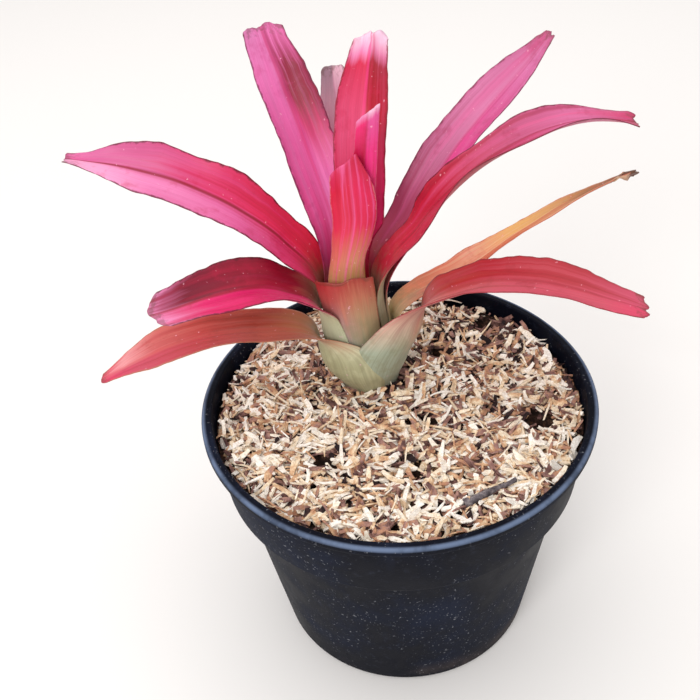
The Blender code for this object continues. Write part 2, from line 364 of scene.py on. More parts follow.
def leafLine(leaf):
    # points of the middle line in mm, from just under the mix to the tip
    radius = leaf["sheath"] * stem["radius"]
    height = stem["shoulder"] + stem["cone"] * (1 - leaf["sheath"]) + stem["baseGap"]
    heading = math.radians(leaf["heading"])
    point = stemPoint(height) + radius * Vector((math.cos(heading), math.sin(heading), 0))
    line = [point.copy()]
    for sample in range(leafMaking["samples"]):
        along, across = leafDirection(leaf, (sample + 0.5) / leafMaking["samples"])
        point += along * leaf["length"] / leafMaking["samples"]
        line.append(point.copy())
    return line


def leafPointAt(leaf, line, share):
    if share < 0:
        return line[0] + leafDirection(leaf, 0)[0] * share * leaf["length"]
    place = min(share, 1) * leafMaking["samples"]
    before = min(int(place), leafMaking["samples"] - 1)
    return line[before].lerp(line[before + 1], place - before)


def sheathPoint(leaf, base, run, side):
    # a point of the sheath in mm, run mm above its base: all sheaths share one barrel shape about the stem
    height = base + 0.98 * run
    above = height - stem["shoulder"]
    fullness = blend(0.72, 1, smooth((above + 3) / 17)) * blend(1, leaf["flare"], smooth((run - 22) / 26))
    wrap = blend(*leaf["hug"], smooth(run / leaf["parts"][1]))
    angle = math.radians(leaf["faces"] + side * wrap)
    bulge = leaf["bulge"] * math.sin(math.pi * min(max(run / 34, 0), 1)) * (1 - 0.5 * side * side)
    away = Vector((math.cos(angle), math.sin(angle), 0))
    heading = math.radians(leaf["heading"])
    lean = leaf["lean"] * max(run, 0) * smooth(run / 30)
    leaning = Vector((math.cos(heading), math.sin(heading), 0)) * lean
    return stemPoint(height) + away * (leaf["around"] * fullness + bulge) + leaning


def noiseVector(place):
    # three draws of plain noise, because the library's own vector noise differs from run to run
    return Vector([noise.noise(place + Vector((shift, -shift, shift / 2))) for shift in (0, 31.7, 67.3)])


def bladePoint(leaf, line, share, side):
    # a point of the blade in mm, on a section hollowed about the middle line
    along, across = leafDirection(leaf, share)
    point = leafPointAt(leaf, line, share) + across * leaf["leanAcross"] * share * abs(share)
    share = max(share, 0)
    inward = along.cross(across)
    roll = math.radians(leaf["roll"] * share)
    rolledAcross = math.cos(roll) * across + math.sin(roll) * inward
    rolledInward = math.cos(roll) * inward - math.sin(roll) * across
    leastReach = leafMaking["leastReach"] * leaf["sheath"] * stem["radius"]
    reach = max((point - stemPoint(point.z)).length, leastReach)
    opened = smooth((share - leaf["opens"]) / leafMaking["openingShare"])
    hollow = 1 / blend(1 / reach, 1 / leaf["channel"], opened)
    width = blend(*leaf["widths"], smooth(share / leaf["fullAt"]))
    width = min(width, 2 * math.radians(leaf["wrap"]) * reach / max(1 - opened, 0.01))
    taper = smooth((share - 1 + leaf["tipShare"]) / leaf["tipShare"]) ** leaf["taperPower"]
    width *= blend(1, leaf["tip"], taper)
    seed = leaf["seed"]
    ragged = noise.noise(Vector((share * 11, seed + (3 if side > 0 else 9), 0)))
    ragged += 0.6 * noise.noise(Vector((share * 37, seed, 5 if side > 0 else 2)))
    width *= 1 + leaf["ragged"] * ragged * smooth(share / 0.25)
    turn = side * width / 2 / hollow
    place = point + hollow * (rolledAcross * math.sin(turn) + rolledInward * (1 - math.cos(turn)))
    lift = leaf["keel"] * (math.sqrt(side * side + 0.004) - 0.5) * opened * (1 - 0.5 * taper)
    wave = leaf["wave"] * math.sin(math.tau * leaf["waves"] * share + seed * 2 + (2.2 if side > 0 else 0))
    lift += wave * abs(side) ** 2.5 * smooth((share - 0.2) / 0.3)
    ribs = leafMaking["ribHeight"] * math.cos(math.pi * leafMaking["ribs"] * side)
    lift += ribs * (1 - side * side) * (1 - taper)
    buckle = leafMaking["buckle"] * noise.noise(Vector((share * 9, side * 1.2, seed + 20)))
    lift += buckle * smooth(share / 0.3)
    place += rolledInward * lift
    if leaf["crumple"]:
        amount = leaf["crumple"] * smooth((share - leaf["crumpleFrom"]) / (1 - leaf["crumpleFrom"]))
        place += amount * noiseVector(Vector((share * 26, side * 2.2, seed + 40)))
    return place


def leafSurface(leaf, line, share, side):
    # a point of the leaf in mm: share goes from 0 at the base to 1 at the tip, side from -1 to 1 across
    uneven = noise.noise(Vector((side * 1.9, leaf["seed"], 7.7)))
    uneven += 0.12 * noise.noise(Vector((side * 7, 1, leaf["seed"])))
    fromPeak = (side - leaf["peak"]) / (1 + leaf["peak"] if side < leaf["peak"] else 1 - leaf["peak"])
    endShape = leaf["endRound"] * (1 - math.sqrt(1 - 0.96 * fromPeak**2)) + leaf["endPoint"] * abs(fromPeak)
    endShape += leaf["endRagged"] * (0.5 + uneven)
    endShape += 0.5 * abs(leaf["endSlant"]) - 0.5 * leaf["endSlant"] * side
    share -= endShape / leaf["length"] * smooth((share - leafMaking["endFrom"]) / leafMaking["endSpan"])
    run = share * leaf["length"]
    parts, free = leaf["parts"]
    freed = smooth((run - parts) / (free - parts))
    if freed == 0:
        return sheathPoint(leaf, line[0].z, run, side)
    return sheathPoint(leaf, line[0].z, run, side).lerp(bladePoint(leaf, line, share, side), freed)


def leafWeight(share, side):
    # the leaf's thickness as a share of the sheath's
    blade = blend(1, leafMaking["bladeThickness"], smooth(share / 0.35))
    tip = blend(1, leafMaking["tipThickness"], smooth((share - 0.7) / 0.3))
    return blade * tip * (1 - leafMaking["marginThinner"] * abs(side) ** 3.0)


def leafFinish(name, look, dull):
    material, tree, shader = newMaterial(name, 0.3, 0.04, lilac)
    surface = addNode(tree, "ShaderNodeUVMap", {}, uv_map="UVMap").outputs[0]
    split = addNode(tree, "ShaderNodeSeparateXYZ", {0: surface})
    acrossLeaf, alongLeaf = split.outputs[0], split.outputs[1]
    start = (look["seed"], look["seed"] * 3, 0)
    surface = addNode(tree, "ShaderNodeMapping", {"Vector": surface, "Location": start}).outputs[0]
    cloud = noiseAt(tree, surface, 1, 4, 0.6, (4, 6, 1))
    lines = noiseAt(tree, surface, 1, 3, 0.55, (8, 0.9, 1))
    fine = noiseAt(tree, surface, 1, 4, 0.6, (44, 3, 1))
    streaky = stepped(tree, lines, 0.25, 0.75, -1, 1)
    shift = calculate(tree, "MULTIPLY", streaky, stepped(tree, alongLeaf, 0.2, 0.6, 0.012, look["uneven"]))
    shiftedAlong = calculate(tree, "ADD", alongLeaf, shift)
    if dull:  # the green runs further up the outside of the leaf
        shiftedAlong = calculate(tree, "ADD", shiftedAlong, stepped(tree, alongLeaf, 0.3, 0.6, -0.06, 0))
    # the two halves' ramps hold painted sheen and painted shade besides the leaf's own colour
    firstHalf = ramped(tree, shiftedAlong, look["first"])
    secondHalf = ramped(tree, shiftedAlong, look["second"])
    middle = calculate(tree, "ADD", acrossLeaf, stepped(tree, cloud, 0.3, 0.7, -0.03, 0.03))
    half = stepped(tree, middle, 0.5 - look["soft"], 0.5 + look["soft"])
    colour = mixed(tree, half, firstHalf, secondHalf)
    blade = stepped(tree, alongLeaf, look["greenTo"] - 0.05, look["greenTo"] + 0.1)
    streaks = calculate(tree, "MULTIPLY", stepped(tree, lines, 0.5, 0.66, 0, look["streak"]), blade)
    colour = mixed(tree, streaks, colour, look["streakColour"])
    shadeLines = calculate(tree, "MULTIPLY", stepped(tree, lines, 0.46, 0.3, 0, 0.4), blade)
    colour = mixed(tree, shadeLines, colour, look["shadeColour"])
    fromRib = calculate(tree, "ABSOLUTE", calculate(tree, "SUBTRACT", acrossLeaf, 0.5))
    rib = calculate(tree, "MULTIPLY", stepped(tree, fromRib, 0.05, 0.008, 0, look["rib"]), blade)
    colour = mixed(tree, rib, colour, look["ribColour"])
    fineTones = ramped(tree, fine, [(0.3, (0.84, 0.82, 0.82, 1)), (0.7, (1, 1, 1, 1))])
    colour = mixed(tree, 1.0, colour, fineTones, "MULTIPLY")
    place = addNode(tree, "ShaderNodeTexCoord", {}).outputs["Object"]
    blotch = noiseAt(tree, place, 110, 4, 0.65)
    blotches = calculate(tree, "MULTIPLY", stepped(tree, blotch, 0.55, 0.72, 0, 0.4), blade)
    colour = mixed(tree, blotches, colour, look["shadeColour"])
    mould = calculate(tree, "MULTIPLY", stepped(tree, blotch, 0.56, 0.4, 0, 0.35), stepped(tree, blade, 1, 0))
    colour = mixed(tree, mould, colour, mouldTint)
    fleck = stepped(tree, noiseAt(tree, place, 620, 2, 0.5), 0.7, 0.77, 0, 0.5)
    colour = mixed(tree, fleck, colour, blush)
    ragged = noiseAt(tree, surface, 1, 4, 0.7, (6, 38, 1))
    margin = calculate(tree, "ADD", fromRib, stepped(tree, ragged, 0.3, 0.7, -0.02, 0.02))
    margin = calculate(tree, "MULTIPLY", stepped(tree, margin, 0.462, 0.497, 0, 0.85), blade)
    colour = mixed(tree, margin, colour, look["edge"])
    veins = stepped(tree, fine, 0.4, 0.62, 0.22, 0)
    veins = calculate(tree, "MULTIPLY", veins, stepped(tree, alongLeaf, 0.4, 0.1))
    colour = mixed(tree, veins, colour, veinTint)
    tipEnd = calculate(tree, "ADD", alongLeaf, stepped(tree, ragged, 0.3, 0.7, -0.03, 0.02))
    colour = mixed(tree, stepped(tree, tipEnd, 0.965, 0.995, 0, look["tipBrown"]), colour, dryBrown)
    if dull:
        colour = mixed(tree, calculate(tree, "MULTIPLY", blade, dull), colour, dullTint)
    tree.links.new(colour, shader.inputs["Base Color"])
    rough = calculate(tree, "ADD", stepped(tree, fine, 0.3, 0.7, 0.36, 0.5), 0.12 * dull)
    tree.links.new(rough, shader.inputs["Roughness"])
    relief = calculate(tree, "ADD", fine, calculate(tree, "MULTIPLY", blotch, 1.4))
    bumped(tree, shader, relief, 0.32, 0.22 * mm)
    return material


leafUsual = {
    "bulge": 0, "flare": 1, "lean": 0, "keel": 1.2, "wave": 0.5, "waves": 3, "ragged": 0.05,
    "endRound": 3, "endRagged": 1.5, "endSlant": 0, "endPoint": 0, "peak": 0, "tipShare": 0.3,
    "taperPower": 1.5, "leanAcross": 0, "fullAt": 0.42, "greenTo": 0.3, "crumple": 0, "crumpleFrom": 0.85,
    "soft": 0.05, "streak": 0.45, "streakColour": pink, "shadeColour": crimson, "rib": 0.5,
    "ribColour": deepRed, "edge": maroon, "tipBrown": 0.5, "dull": 0.3, "uneven": 0.06,
}


def makeLeaf(name, node, slotName, **values):
    leaf = {**leafUsual, **values}
    line = leafLine(leaf)
    shape = bmesh.new()
    bmesh.ops.create_grid(shape, x_segments=leafMaking["columns"], y_segments=leafMaking["rows"], size=1)
    surface = shape.loops.layers.uv.new("UVMap")
    weights = shape.verts.layers.deform.verify()
    start = (stem["shoulder"] - leafMaking["root"] - line[0].z) / leaf["length"]
    for face in shape.faces:
        for corner in face.loops:
            corner[surface].uv = ((corner.vert.co.x + 1) / 2, blend(start, 1, (corner.vert.co.y + 1) / 2))
    for vertex in shape.verts:
        side = vertex.co.x
        share = blend(start, 1, (vertex.co.y + 1) / 2)
        vertex[weights][0] = leafWeight(share, side)
        vertex.co = leafSurface(leaf, line, share, side) * mm
    bmesh.ops.reverse_faces(shape, faces=shape.faces)  # the grid's own side is then the leaf's upper face
    mesh = meshFrom(name, shape, 180)
    upper = leafFinish(name + " upper face", leaf, 0)
    under = leafFinish(name + " under face", leaf, leaf["dull"])
    made = newPiece(name, mesh, [upper, under], slotName, node)
    made.vertex_groups.new(name="thickness")
    thicken = made.modifiers.new("thickness", "SOLIDIFY")
    thicken.thickness = leafMaking["thickness"] * mm
    thicken.offset = 0
    thicken.vertex_group = "thickness"
    thicken.thickness_vertex_group = leafMaking["thinnest"]
    thicken.material_offset = 1
    print("leaf made:", name)


# first and second are the colours from base to tip of the leaf's two halves: second is the anticlockwise one.
# Where the halves differ, they carry painted light besides the leaf's own colour: a painted pale sheen on the
# half that faces up and painted shade on the steeper half.

makeLeaf(
    "leafLeftLow", "leaf_left_low", "leaf_tissue", seed=1,
    heading=185, sheath=0.94, wrap=66, length=107, widths=(27, 18.5), rise=(83, 21, -11, -26),
    sweep=5, roll=-18, channel=20, opens=0.05, tip=0.2,
    faces=233, around=15.4, hug=(64, 50), parts=(16, 44), bulge=2.2,
    keel=0.6, endRound=2, endRagged=0.8, wave=0.4, greenTo=0.22,
    first=[(0, sage), (0.17, sage), (0.25, tint(168, 112, 66)), (0.38, tint(150, 56, 36)),
           (0.6, tint(176, 56, 50)),
           (0.8, tint(196, 92, 92)), (0.92, tint(226, 150, 154)), (1, tint(206, 70, 96))],
    second=[(0, sage), (0.15, paleSage), (0.24, tint(170, 132, 84)), (0.34, tint(170, 72, 44)),
            (0.6, tint(186, 56, 62)), (0.86, tint(200, 70, 96)), (1, tint(214, 60, 100))],
    soft=0.16, streak=0.25, streakColour=tint(204, 110, 90), shadeColour=tint(140, 44, 32), rib=0.25,
    ribColour=brick, edge=tint(170, 110, 84),
)

makeLeaf(
    "leafRightDry", "leaf_right_dry", "leaf_withered", seed=2,
    heading=16, sheath=0.94, wrap=30, length=125, widths=(12, 13), rise=(81, 36, 21, 2),
    sweep=0, roll=8, channel=9, opens=0.1, tip=0.16, tipShare=0.66, taperPower=0.62,
    faces=10, around=14, hug=(26, 20), parts=(22, 50),
    keel=1.6, wave=0.6, endRound=1, endRagged=2, ragged=0.16, crumple=3.6, crumpleFrom=0.88,
    first=[(0, olive), (0.2, straw), (0.32, tint(214, 110, 92)), (0.5, tint(224, 122, 84)),
           (0.68, tint(206, 134, 92)),
           (0.84, tint(150, 98, 66)), (1, dryBrown)],
    second=[(0, olive), (0.2, straw), (0.32, tint(226, 120, 92)), (0.45, tint(232, 156, 128)), (0.58, amber),
            (0.72, tint(204, 150, 96)), (0.84, tint(150, 100, 70)), (1, dryBrown)],
    streak=0.6, streakColour=tint(238, 196, 158), shadeColour=tint(196, 84, 60), rib=0.6,
    ribColour=tint(238, 206, 160), edge=tint(190, 90, 60), tipBrown=0.95, dull=0.1,
)

makeLeaf(
    "leafRightLow", "leaf_right_low", "leaf_tissue", seed=3,
    heading=-19, sheath=0.83, wrap=58, length=122, widths=(23, 19.5), rise=(87, 45, 1, -9),
    sweep=-4, roll=10, channel=20, opens=0.1, tip=0.45,
    faces=304, around=14.8, hug=(64, 68), parts=(20, 54), bulge=1.4, lean=0.38,
    keel=0.8, endRound=3, endRagged=3, wave=0.6, ragged=0.08, greenTo=0.22,
    first=[(0, greySage), (0.12, greySage), (0.22, tint(208, 176, 150)), (0.31, tint(206, 126, 108)),
           (0.42, tint(204, 84, 86)),
           (0.6, tint(206, 78, 96)), (0.85, tint(204, 78, 98)), (1, tint(214, 62, 100))],
    second=[(0, greySage), (0.08, greySage), (0.18, tint(206, 162, 130)), (0.28, tint(190, 70, 60)),
            (0.55, tint(172, 30, 42)), (0.8, tint(176, 50, 62)), (1, tint(196, 76, 104))],
    soft=0.14, streak=0.3, streakColour=tint(206, 84, 100), shadeColour=tint(150, 34, 40), rib=0.25,
    edge=tint(140, 44, 48),
)

makeLeaf(
    "leafLeftMiddle", "leaf_left_middle", "leaf_tissue", seed=4,
    heading=200, sheath=0.8, wrap=34, length=105, widths=(20, 22), rise=(80, 63, 12, 8),
    sweep=4, roll=-26, channel=20, opens=0.25, tip=0.6,
    faces=210, around=14, hug=(46, 36), parts=(22, 52),
    keel=1.8, endRound=6, endRagged=1.5, wave=0.9, greenTo=0.36,
    first=[(0, greySage), (0.32, paleSage), (0.4, tint(176, 96, 84)), (0.47, tint(156, 14, 44)),
           (0.64, tint(140, 10, 42)), (0.84, tint(112, 14, 40)), (0.94, tint(176, 84, 118)), (1, palePink)],
    second=[(0, greySage), (0.3, paleSage), (0.38, tint(206, 120, 120)), (0.45, magenta),
            (0.64, tint(208, 20, 92)),
            (0.8, magenta), (0.9, tint(216, 84, 130)), (1, palePink)],
    soft=0.06, streak=0.12, streakColour=rose, shadeColour=tint(170, 14, 56), rib=0.7, ribColour=deepRed,
    edge=tint(88, 12, 30),
)

makeLeaf(
    "leafFrontShort", "leaf_front_short", "leaf_tissue", seed=5,
    heading=-92, sheath=0.65, wrap=46, length=53.5, widths=(17, 19), rise=(88, 86, 80, 76),
    sweep=0, roll=0, channel=12, opens=0.55, tip=0.9,
    faces=262, around=13.2, hug=(44, 52), parts=(60, 90), flare=1.08,
    keel=0.4, endRound=3, endRagged=1.6, wave=0.3, endSlant=1.5, greenTo=0.6,
    first=[(0, greySage), (0.42, tint(158, 152, 142)), (0.6, tint(180, 132, 130)), (0.78, tint(184, 88, 82)),
           (1, tint(172, 38, 44))],
    second=[(0, greySage), (0.4, tint(150, 148, 116)), (0.66, tint(178, 142, 108)),
            (0.84, tint(184, 108, 84)),
            (1, tint(164, 52, 46))],
    soft=0.26, streak=0.35, streakColour=peach, shadeColour=tint(176, 60, 60), rib=0.0,
    edge=tint(150, 84, 60), dull=0,
)

makeLeaf(
    "leafLeftUpper", "leaf_left_upper", "leaf_tissue", seed=6,
    heading=175, sheath=0.48, wrap=38, length=148, widths=(16, 21.5), rise=(85, 59, 25, 2),
    sweep=-11, roll=-46, channel=24, opens=0.35, tip=0.18,
    faces=178, around=12, hug=(40, 40), parts=(24, 62),
    keel=2.8, endRound=1, endRagged=1, wave=1.3, waves=4, ragged=0.1, fullAt=0.56,
    first=[(0, straw), (0.22, tint(196, 120, 90)), (0.32, tint(206, 34, 60)), (0.5, tint(204, 24, 72)),
           (0.66, tint(206, 50, 102)), (0.8, tint(204, 88, 138)), (0.92, tint(206, 96, 148)), (1, pink)],
    second=[(0, straw), (0.2, tint(190, 110, 84)), (0.3, tint(186, 24, 52)), (0.42, tint(210, 50, 104)),
            (0.56, tint(222, 100, 158)), (0.78, tint(230, 132, 182)), (1, tint(236, 166, 200))],
    soft=0.03, streak=0.4, streakColour=tint(216, 70, 134), shadeColour=tint(176, 16, 56), rib=0.9,
    ribColour=tint(142, 12, 38), edge=tint(92, 12, 32),
)

makeLeaf(
    "leafRightUpper", "leaf_right_upper", "leaf_tissue", seed=7,
    heading=33, sheath=0.49, wrap=42, length=146, widths=(18, 20.5), rise=(88, 62, 35, 38),
    sweep=0, roll=6, channel=18, opens=0.3, tip=0.35,
    faces=30, around=12, hug=(42, 42), parts=(26, 62),
    keel=2.0, endRound=2, endRagged=4, wave=0.6, ragged=0.07,
    first=[(0, straw), (0.16, paleSage), (0.26, tint(196, 80, 90)), (0.36, tint(206, 30, 96)),
           (0.55, tint(220, 58, 134)),
           (0.74, tint(206, 88, 144)), (0.92, tint(204, 112, 160)), (1, tint(196, 84, 130))],
    second=[(0, straw), (0.16, paleSage), (0.26, tint(180, 60, 80)), (0.4, tint(172, 62, 98)),
            (0.55, tint(186, 98, 138)),
            (0.75, tint(206, 116, 160)), (0.92, tint(198, 108, 152)), (1, tint(188, 80, 126))],
    soft=0.06, streak=0.4, streakColour=tint(214, 84, 142), shadeColour=tint(160, 50, 92), rib=0.35,
    ribColour=tint(190, 60, 112), edge=tint(120, 44, 74),
)

makeLeaf(
    "leafBack", "leaf_back", "leaf_tissue", seed=8,
    heading=96, sheath=0.55, wrap=16, length=117, widths=(14, 15), rise=(84, 66, 48, 45),
    sweep=-4, roll=0, channel=20, opens=0.3, tip=0.6,
    faces=98, around=12, hug=(24, 22), parts=(26, 60), wave=0.8, ragged=0.08,
    first=[(0, straw), (0.2, sage), (0.35, rose), (0.6, tint(206, 110, 150)), (0.85, tint(210, 140, 168)),
           (1, tint(222, 176, 192))],
    second=[(0, straw), (0.2, sage), (0.35, rose), (0.6, tint(196, 118, 150)), (0.85, tint(196, 142, 160)),
            (1, tint(150, 120, 136))],
    streak=0.4, streakColour=tint(224, 150, 184), shadeColour=tint(168, 96, 122), rib=0.3, ribColour=mauve,
    edge=tint(150, 96, 116),
)

makeLeaf(
    "leafBackLeft", "leaf_back_left", "leaf_tissue", seed=9,
    heading=122, sheath=0.37, wrap=40, length=135, widths=(12, 22), rise=(89, 70, 53, 52),
    sweep=-7, roll=-8, channel=18, opens=0.3, tip=0.72, fullAt=0.62,
    faces=126, around=11, hug=(42, 36), parts=(28, 64),
    keel=2.0, endRound=4.5, endRagged=2.5, wave=0.8, ragged=0.08,
    first=[(0, straw), (0.2, tint(210, 110, 100)), (0.3, tint(230, 104, 166)), (0.42, tint(236, 142, 204)),
           (0.56, tint(226, 106, 172)), (0.68, tint(196, 50, 104)), (0.76, tint(140, 10, 48)),
           (0.87, tint(136, 14, 52)),
           (0.94, tint(190, 76, 130)), (1, tint(214, 100, 160))],
    second=[(0, straw), (0.2, tint(190, 60, 70)), (0.34, tint(214, 64, 126)), (0.56, tint(228, 92, 162)),
            (0.85, tint(228, 112, 176)), (1, tint(222, 126, 182))],
    soft=0.14, streak=0.3, streakColour=tint(228, 128, 188), shadeColour=tint(186, 56, 116), rib=0.4,
    ribColour=tint(206, 44, 106), edge=tint(110, 28, 62),
)

makeLeaf(
    "leafRightMiddle", "leaf_right_middle", "leaf_tissue", seed=10,
    heading=5, sheath=0.385, wrap=40, length=151, widths=(17, 17), rise=(90, 64, 30, -20),
    sweep=-4, roll=2, channel=15, opens=0.3, tip=0.55,
    faces=4, around=11, hug=(44, 44), parts=(28, 62),
    keel=2.2, endRound=1.5, endRagged=2.5, wave=1.2, waves=3.5, ragged=0.09,
    first=[(0, greySage), (0.2, paleSage), (0.29, tint(206, 46, 66)), (0.45, crimson),
           (0.62, tint(156, 16, 46)),
           (0.74, tint(190, 62, 104)), (0.88, tint(206, 104, 152)), (1, tint(196, 36, 86))],
    second=[(0, greySage), (0.2, paleSage), (0.28, tint(206, 36, 60)), (0.48, tint(186, 18, 50)),
            (0.6, tint(192, 66, 100)),
            (0.72, tint(186, 78, 120)), (0.86, tint(204, 100, 148)), (1, tint(200, 52, 104))],
    soft=0.04, streak=0.3, streakColour=rose, shadeColour=tint(142, 12, 44), rib=0.6, ribColour=deepRed,
    edge=tint(96, 12, 32),
)

makeLeaf(
    "leafCentreTall", "leaf_centre_tall", "leaf_tissue", seed=11,
    heading=75, sheath=0.245, wrap=36, length=129, widths=(15, 20), rise=(83, 88, 65, 24),
    sweep=0, roll=0, channel=14, opens=0.35, tip=0.62,
    faces=75, around=8.6, hug=(40, 40), parts=(30, 64),
    keel=1.6, endRound=7, endRagged=1.6, crumple=2.0, crumpleFrom=0.92, ragged=0.08,
    first=[(0, straw), (0.25, crimson), (0.5, tint(222, 40, 108)), (0.66, tint(206, 30, 88)),
           (0.74, tint(176, 10, 40)),
           (0.9, tint(150, 4, 30)), (0.935, tint(206, 110, 150)), (1, tint(240, 200, 222))],
    second=[(0, straw), (0.25, crimson), (0.5, tint(214, 56, 96)), (0.72, tint(222, 78, 122)),
            (0.9, tint(206, 34, 74)),
            (0.935, tint(230, 130, 176)), (1, tint(244, 206, 226))],
    soft=0.05, streak=0.15, streakColour=tint(230, 110, 150), shadeColour=tint(196, 30, 72), rib=0.6,
    ribColour=tint(232, 52, 124), edge=tint(130, 10, 36), tipBrown=0, uneven=0.015,
)

makeLeaf(
    "leafCentreShort", "leaf_centre_short", "leaf_tissue", seed=12,
    heading=-98, sheath=0.34, wrap=42, length=96, widths=(12, 17), rise=(87, 89, 90, 90),
    sweep=0, roll=0, channel=14, opens=0.5, tip=0.8, fullAt=0.8,
    faces=258, around=9.4, hug=(46, 44), parts=(38, 70), leanAcross=-1.4,
    keel=-0.8, endRound=3, endPoint=9, endRagged=0.8, endSlant=-4, peak=0.42, greenTo=0.42,
    first=[(0, straw), (0.42, tint(190, 160, 92)), (0.53, tint(206, 120, 96)), (0.66, tint(214, 44, 76)),
           (0.85, scarlet), (0.97, tint(206, 40, 84)), (1, rose)],
    second=[(0, straw), (0.42, tint(178, 154, 84)), (0.55, tint(196, 128, 96)), (0.68, tint(214, 36, 76)),
            (0.85, tint(218, 30, 84)), (1, tint(190, 20, 60))],
    soft=0.2, streak=0.7, streakColour=tint(232, 92, 150), shadeColour=tint(190, 24, 56), rib=0.3,
    ribColour=tint(232, 100, 156), edge=tint(214, 120, 130), dull=0, tipBrown=0, uneven=0.03,
)

makeLeaf(
    "leafCentreYoung", "leaf_centre_young", "leaf_tissue", seed=13,
    heading=-100, sheath=0.145, wrap=40, length=108, widths=(7, 8.5), rise=(89, 90, 91, 89),
    sweep=0, roll=0, channel=9, opens=0.4, tip=0.9,
    faces=290, around=6.6, hug=(44, 44), parts=(36, 70), leanAcross=6.5,
    keel=-0.4, endRound=1, endRagged=1.2, endSlant=6, greenTo=0.42,
    first=[(0, straw), (0.4, tint(176, 130, 80)), (0.55, deepRed), (0.85, tint(190, 16, 66)), (0.97, magenta),
           (1, palePink)],
    second=[(0, straw), (0.4, tint(190, 150, 90)), (0.55, tint(216, 30, 84)), (0.85, tint(226, 44, 122)),
            (0.97, tint(222, 84, 150)), (1, tint(238, 190, 214))],
    soft=0.1, streak=0.4, streakColour=tint(228, 50, 130), shadeColour=tint(176, 12, 50), rib=0.2,
    edge=tint(206, 90, 120), dull=0, tipBrown=0, uneven=0.01,
)


# Potting mix: a dark uneven bed under several layers of chopped husk.

mix = {
    "belowRim": 6.5, "crown": 1.6, "bedDrop": 1.9, "bedSides": 120, "bedRings": 30, "bedGap": 0.3,
    "bedFoot": 2.2, "darkPatchX": 36, "darkPatchY": 40,
    "kinds": {
        "chips": {"count": 16, "lengths": (4.0, 9.5), "widths": (0.9, 2.4), "thicknesses": (0.35, 0.9),
                  "bend": 0.8, "jitter": 0.5, "cuts": 2},
        "crumbs": {"count": 6, "lengths": (1.0, 2.2), "widths": (0.8, 1.5), "thicknesses": (0.5, 1.0),
                   "bend": 0.2, "jitter": 0.6, "cuts": 0},
        "strands": {"count": 6, "lengths": (8, 14), "widths": (0.5, 0.9), "thicknesses": (0.35, 0.6),
                    "bend": 2.0, "jitter": 0.3, "cuts": 4},
    },
    # the deeper layers are given darker tones: painted shade for the chips that lie under the others
    "layers": [
        {"name": "huskLower", "kind": "chips", "count": 1500, "lift": (-1.6, -0.4), "tilt": 20,
         "tones": (0.0, 0.6), "clear": 11.0, "sharp": 40},
        {"name": "huskMiddle", "kind": "chips", "count": 1900, "lift": (-0.9, 0.4), "tilt": 20,
         "tones": (0.15, 1.1), "clear": 11.0, "sharp": 40},
        {"name": "huskUpper", "kind": "chips", "count": 1700, "lift": (-0.1, 1.3), "tilt": 17,
         "tones": (0.34, 1.3), "clear": 11.0, "sharp": 40},
        {"name": "huskCrumbs", "kind": "crumbs", "count": 1500, "lift": (-1.2, 0.8), "tilt": 30,
         "tones": (0.0, 0.8), "clear": 10.0, "sharp": 40},
        {"name": "huskStrands", "kind": "strands", "count": 420, "lift": (0.2, 1.5), "tilt": 10,
         "tones": (0.35, 1.0), "clear": 11.0, "sharp": 60},
    ],
    "hollows": [
        (52, -14, 8), (-30, -27, 5), (41, 45, 7), (18, 30, 5), (4, -36, 4), (-8, -58, 3.5), (13, -12, 3.5),
    ],
    "twigLength": 21, "twigPlace": (27.5, -49.0), "twigTurn": 23, "twigRadii": (1.7, 0.8), "twigLift": 2.2,
    "twigWobble": 0.9,
    "stops": [
        (0.0, tint(34, 22, 24)), (0.12, tint(80, 54, 52)), (0.24, tint(128, 94, 88)),
        (0.34, tint(168, 130, 120)), (0.44, tint(190, 140, 110)), (0.54, tint(220, 182, 144)),
        (0.64, tint(240, 218, 186)), (0.8, tint(250, 238, 218)), (1.0, tint(254, 250, 242)),
    ],
}
mixEdge = potHeight - mix["belowRim"]
dice = random.Random(4)


def mixHeight(x, y):
    reach = math.hypot(x - stem["x"], y - stem["y"]) / rimRadius
    uneven = 0.9 * noise.noise(Vector((x / 17, y / 17, 3))) + 0.5 * noise.noise(Vector((x / 6, y / 6, 8)))
    return mixEdge + mix["crown"] * math.exp(-4 * reach * reach) + uneven


def hollowAt(x, y):
    # how deep a point lies in one of the open hollows, from 0 to 1
    depth = 0
    for hollowX, hollowY, radius in mix["hollows"]:
        depth = max(depth, 1 - smooth((math.hypot(x - hollowX, y - hollowY) / radius - 0.5) / 0.6))
    return depth


def shadeAndDarkPatchAt(x, y):
    # how much darker the husk is painted: painted shade against the plant, under its leaves, and a darker
    # patch in one part behind it
    near = 1 - smooth((math.hypot(x - stem["x"], y - stem["y"]) - 12) / 16)
    behind = 1 - smooth((math.hypot(x - mix["darkPatchX"], y - mix["darkPatchY"]) - 8) / 22)
    return 0.24 * near + 0.3 * behind


def huskFinish(name, stops, relief):
    material, tree, shader = newMaterial(name, 0.25)
    place = addNode(tree, "ShaderNodeTexCoord", {}).outputs["Object"]
    tone = addNode(tree, "ShaderNodeAttribute", {}, attribute_name="tone").outputs["Fac"]
    patch = noiseAt(tree, place, 260, 3, 0.6)
    fibre = noiseAt(tree, place, 1300, 3, 0.6)
    shifted = calculate(tree, "ADD", tone, stepped(tree, patch, 0.3, 0.7, -0.12, 0.12))
    colour = ramped(tree, shifted, stops)
    fibreTones = ramped(tree, fibre, [(0.3, (0.7, 0.64, 0.6, 1)), (0.62, (1, 1, 1, 1))])
    colour = mixed(tree, 1.0, colour, fibreTones, "MULTIPLY")
    tree.links.new(colour, shader.inputs["Base Color"])
    tree.links.new(stepped(tree, fibre, 0.3, 0.7, 0.7, 0.9), shader.inputs["Roughness"])
    bumped(tree, shader, calculate(tree, "ADD", fibre, patch), relief, 0.3 * mm)
    return material


